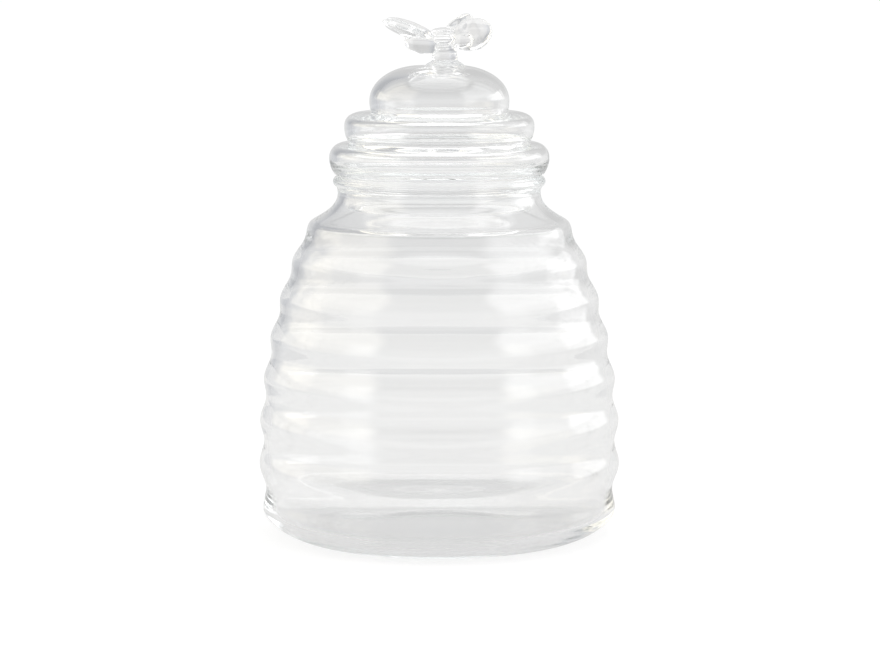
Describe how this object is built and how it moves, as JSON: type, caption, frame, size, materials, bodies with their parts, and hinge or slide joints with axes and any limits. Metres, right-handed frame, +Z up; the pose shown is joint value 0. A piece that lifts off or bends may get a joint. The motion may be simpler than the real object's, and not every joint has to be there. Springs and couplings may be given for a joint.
{
  "type": "glass honey pot",
  "caption": "Clear glass honey pot shaped like a beehive, with rounded rings, a flanged hollow lid and a small glass bee as its knob.",
  "frame": {"origin": "centre of the jar's base, on the plane it stands on", "axes": "+Z up along the pot's turning axis; the bee lies along X with its head towards +X, and -Y is the side seen in the picture"},
  "size_m": [0.099, 0.099, 0.1414],
  "materials": {
    "jar_glass": "clear blown glass, smooth and polished, slightly wavy",
    "lid_glass": "clear blown glass with a solid lampworked bee"
  },
  "bodies": {
    "root": {"jar": "jar_glass", "lid": "lid_glass"}
  },
  "joints": []
}
